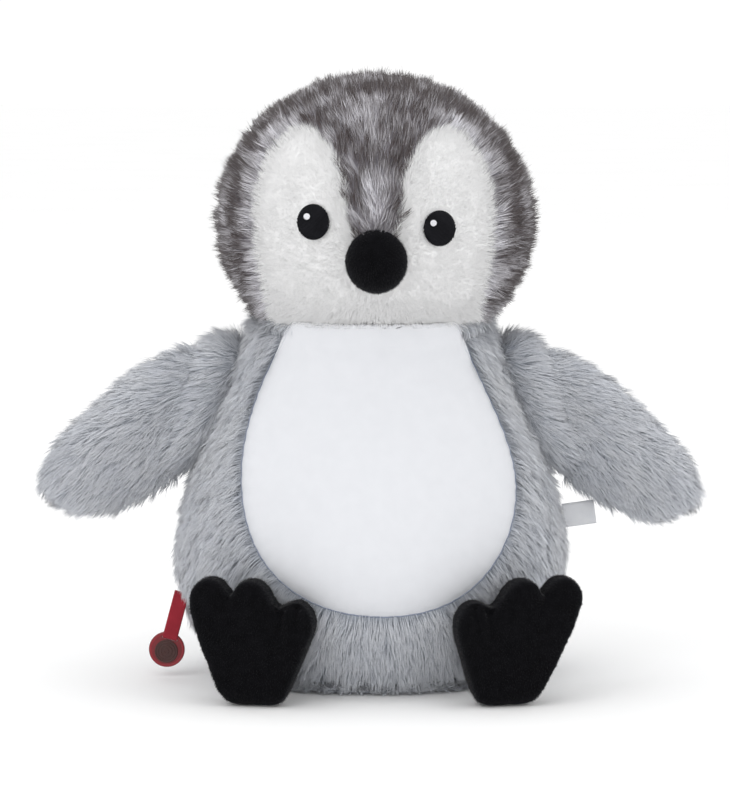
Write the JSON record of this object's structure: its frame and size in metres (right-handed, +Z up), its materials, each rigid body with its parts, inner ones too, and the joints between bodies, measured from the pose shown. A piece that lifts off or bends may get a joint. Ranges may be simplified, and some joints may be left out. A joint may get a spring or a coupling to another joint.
{
  "type": "plush penguin",
  "caption": "Sitting stuffed penguin with soft fur, a smooth white belly panel, black velvet feet and beak, and wings, feet and head that move at their seams.",
  "frame": {"origin": "middle of the flat seat that the toy rests on, below the middle of the body", "axes": "+Z up, -Y is the way the toy faces, +X is to the right as seen from the front"},
  "size_m": [0.3342, 0.1868, 0.2975],
  "materials": {
    "grey_plush": "pale blue-grey long-pile plush",
    "white_short_plush": "smooth white short-pile plush",
    "white_face_plush": "white plush with a soft 6 mm pile",
    "frosted_plush": "brown-grey plush frosted with pale tips",
    "black_velvet": "black short-pile velvet",
    "black_thread": "black satin-stitch embroidery",
    "white_thread": "white embroidery thread",
    "fibre_filling": "white polyester fibre",
    "zip_tape": "grey woven tape",
    "zip_coil": "grey nylon coil",
    "zip_metal": "satin metal",
    "red_ribbon": "red satin ribbon",
    "red_tag": "dark red soft tag",
    "white_label": "white woven satin label"
  },
  "bodies": {
    "torso": {"belly_panel": "white_short_plush", "body_front_panel_left": "grey_plush", "body_front_panel_right": "grey_plush", "body_back_panel_left": "grey_plush", "body_back_panel_right": "grey_plush", "base_panel": "grey_plush", "body_stuffing_pod": "fibre_filling", "zip_tape_front": "zip_tape", "zip_tape_back": "zip_tape", "zip_teeth_front": "zip_coil", "zip_teeth_back": "zip_coil", "zip_end_stops": "zip_metal"},
    "zip_slider": {"zip_slider": "zip_metal"},
    "zip_pull": {"zip_pull": "zip_metal"},
    "neck": {"neck_seam_roll": "grey_plush"},
    "head": {"face_panel": "white_face_plush", "forehead_panel": "frosted_plush", "head_side_panel_left": "frosted_plush", "head_side_panel_right": "frosted_plush", "head_stuffing_pod": "fibre_filling", "beak_cover": "black_velvet", "beak_stuffing": "fibre_filling", "eye_left": "black_thread", "eye_right": "black_thread", "eye_highlight_left": "white_thread", "eye_highlight_right": "white_thread"},
    "hang_tag": {"tag_ribbon": "red_ribbon", "tag_disc": "red_tag"},
    "care_label": {"care_label": "white_label"},
    "wing_left": {"wing_front_panel_left": "grey_plush", "wing_back_panel_left": "grey_plush", "wing_stuffing_left": "fibre_filling"},
    "foot_left": {"foot_sole_panel_left": "black_velvet", "foot_upper_panel_left": "black_velvet", "foot_stuffing_left": "fibre_filling"},
    "wing_right": {"wing_front_panel_right": "grey_plush", "wing_back_panel_right": "grey_plush", "wing_stuffing_right": "fibre_filling"},
    "foot_right": {"foot_sole_panel_right": "black_velvet", "foot_upper_panel_right": "black_velvet", "foot_stuffing_right": "fibre_filling"}
  },
  "joints": [
    {"name": "head_turn", "type": "hinge", "parent": "torso", "child": "neck", "pos_m": [0.0022, -0.005, 0.23759], "axis": [0, 0, 1], "range_deg": [-35, 35], "stiffness_Nm_per_rad": 0.3},
    {"name": "head_nod", "type": "hinge", "parent": "neck", "child": "head", "pos_m": [0.0022, -0.005, 0.23759], "axis": [1, 0, 0], "range_deg": [-12, 15], "stiffness_Nm_per_rad": 0.5},
    {"name": "wing_swing_left", "type": "hinge", "parent": "torso", "child": "wing_left", "pos_m": [-0.0775, 0, 0.1325], "axis": [0.3321, 0, 0.9432], "range_deg": [-35, 60], "stiffness_Nm_per_rad": 0.06},
    {"name": "wing_swing_right", "type": "hinge", "parent": "torso", "child": "wing_right", "pos_m": [0.0775, 0, 0.1325], "axis": [0.3321, 0, -0.9432], "range_deg": [-35, 60], "stiffness_Nm_per_rad": 0.06},
    {"name": "foot_bend_left", "type": "hinge", "parent": "torso", "child": "foot_left", "pos_m": [-0.055, -0.087, 0.01], "axis": [0.9848, -0.1736, 0], "range_deg": [0, 75], "stiffness_Nm_per_rad": 0.12},
    {"name": "foot_bend_right", "type": "hinge", "parent": "torso", "child": "foot_right", "pos_m": [0.063, -0.087, 0.01], "axis": [0.9781, 0.2079, 0], "range_deg": [0, 75], "stiffness_Nm_per_rad": 0.12},
    {"name": "tag_swing", "type": "hinge", "parent": "torso", "child": "hang_tag", "pos_m": [-0.0955, -0.016, 0.038], "axis": [0, 1, 0], "range_deg": [0, 65]},
    {"name": "label_flap", "type": "hinge", "parent": "torso", "child": "care_label", "pos_m": [0.0966, 0.001, 0.079], "axis": [0, 0, 1], "range_deg": [-55, 55]},
    {"name": "zip_slide", "type": "slide", "parent": "torso", "child": "zip_slider", "axis": [-1, 0, 0], "range_m": [0, 0.09]},
    {"name": "zip_pull_lift", "type": "hinge", "parent": "zip_slider", "child": "zip_pull", "pos_m": [0.052, 0, 0.0011], "axis": [0, 1, 0], "range_deg": [-120, 0]}
  ]
}
